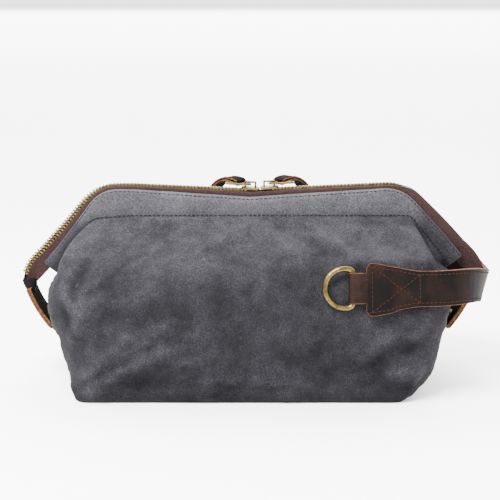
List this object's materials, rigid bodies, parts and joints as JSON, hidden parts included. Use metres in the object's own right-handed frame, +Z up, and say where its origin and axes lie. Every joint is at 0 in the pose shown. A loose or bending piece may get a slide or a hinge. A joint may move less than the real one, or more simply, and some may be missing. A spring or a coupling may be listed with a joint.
{
  "type": "shaving kit bag",
  "caption": "Waxed canvas shaving kit bag with a wire-framed zip mouth that opens wide, leather side handle, D-ring and press-stud end tabs.",
  "frame": {"origin": "centre of the base, on the surface the bag stands on", "axes": "+X to the bag's right, the handle's end, along its length; -Y the front; +Z up"},
  "size_m": [0.334, 0.1416, 0.1459],
  "materials": {
    "canvas": "waxed, matt",
    "lining": "woven, matt",
    "zip_tape": "woven, matt",
    "brass": "antique, satin",
    "wire_steel": "satin",
    "cap_rubber": "matt",
    "leather": "oiled, satin",
    "leather_edge": "raw, matt"
  },
  "bodies": {
    "bag": {"front_panel": "canvas", "rear_panel": "canvas", "base_panel": "canvas", "left_gusset": "canvas", "right_gusset": "canvas", "lining": "lining", "front_shoulder": "canvas", "rear_shoulder": "canvas", "handle_outer": "leather", "handle_lining": "leather_edge", "ring_chape": "leather", "left_snap_stud": "brass", "left_snap_back": "brass", "right_snap_stud": "brass", "right_snap_back": "brass"},
    "front_mouth": {"front_hem": "canvas", "front_frame_wire": "wire_steel", "front_wire_caps": "cap_rubber", "front_zip_tape": "zip_tape", "front_zip_teeth": "brass"},
    "rear_mouth": {"rear_hem": "canvas", "rear_frame_wire": "wire_steel", "rear_wire_caps": "cap_rubber", "rear_zip_tape": "zip_tape", "rear_zip_teeth": "brass"},
    "left_slider": {"left_slider": "brass"},
    "right_slider": {"right_slider": "brass"},
    "left_ring": {"left_pull_ring": "brass"},
    "right_ring": {"right_pull_ring": "brass"},
    "left_pull": {"left_zip_pull": "leather"},
    "right_pull": {"right_zip_pull": "leather"},
    "d_ring": {"d_ring": "brass"},
    "left_tab": {"left_tab_outer": "leather", "left_tab_lining": "leather_edge", "left_snap_cap": "brass", "left_snap_socket": "brass"},
    "right_tab": {"right_tab_outer": "leather", "right_tab_lining": "leather_edge", "right_snap_cap": "brass", "right_snap_socket": "brass"}
  },
  "joints": [
    {"name": "front_mouth_open", "type": "hinge", "parent": "bag", "child": "front_mouth", "pos_m": [0, 0, 0.078], "axis": [1, 0, 0], "range_deg": [0, 55], "deforming": ["front_shoulder", "front_zip_tape", "front_zip_teeth"]},
    {"name": "rear_mouth_open", "type": "hinge", "parent": "bag", "child": "rear_mouth", "pos_m": [0, 0, 0.078], "axis": [1, 0, 0], "range_deg": [-55, 0], "deforming": ["rear_shoulder", "rear_zip_tape", "rear_zip_teeth"]},
    {"name": "right_slider_run", "type": "hinge", "parent": "bag", "child": "right_slider", "pos_m": [0.05384, 0, 0.01896], "axis": [0, 1, 0], "range_deg": [0, 68]},
    {"name": "left_slider_run", "type": "hinge", "parent": "bag", "child": "left_slider", "pos_m": [-0.04732, 0, 0.00826], "axis": [0, -1, 0], "range_deg": [0, 68]},
    {"name": "right_ring_flip", "type": "hinge", "parent": "right_slider", "child": "right_ring", "pos_m": [0.01359, 0, 0.14334], "axis": [0, -1, 0], "range_deg": [0, 90]},
    {"name": "left_ring_flip", "type": "hinge", "parent": "left_slider", "child": "left_ring", "pos_m": [0.00041, 0, 0.1427], "axis": [0, 1, 0], "range_deg": [0, 90]},
    {"name": "right_pull_lift", "type": "hinge", "parent": "right_ring", "child": "right_pull", "pos_m": [0.02228, 0.0032, 0.14375], "axis": [0.9989, 0, 0.0468], "range_deg": [0, 100]},
    {"name": "left_pull_lift", "type": "hinge", "parent": "left_ring", "child": "left_pull", "pos_m": [-0.00828, 0.0032, 0.14311], "axis": [0.9989, 0, -0.0468], "range_deg": [0, 100]},
    {"name": "d_ring_swing", "type": "hinge", "parent": "bag", "child": "d_ring", "pos_m": [0.0695, -0.0642, 0.082], "axis": [0, 0.2419, 0.9703], "range_deg": [0, 120]},
    {"name": "right_tab_unsnap", "type": "hinge", "parent": "bag", "child": "right_tab", "pos_m": [0.1615, 0, 0.0725], "axis": [0, -1, 0], "range_deg": [0, 12]},
    {"name": "left_tab_unsnap", "type": "hinge", "parent": "bag", "child": "left_tab", "pos_m": [-0.1615, 0, 0.0725], "axis": [0, 1, 0], "range_deg": [0, 75]}
  ],
  "couplings": [
    {"joint": "rear_mouth_open", "follows": "front_mouth_open", "ratio": -1},
    {"joint": "right_slider_run", "follows": "front_mouth_open", "ratio": 1.2364},
    {"joint": "left_slider_run", "follows": "front_mouth_open", "ratio": 1.2364}
  ]
}
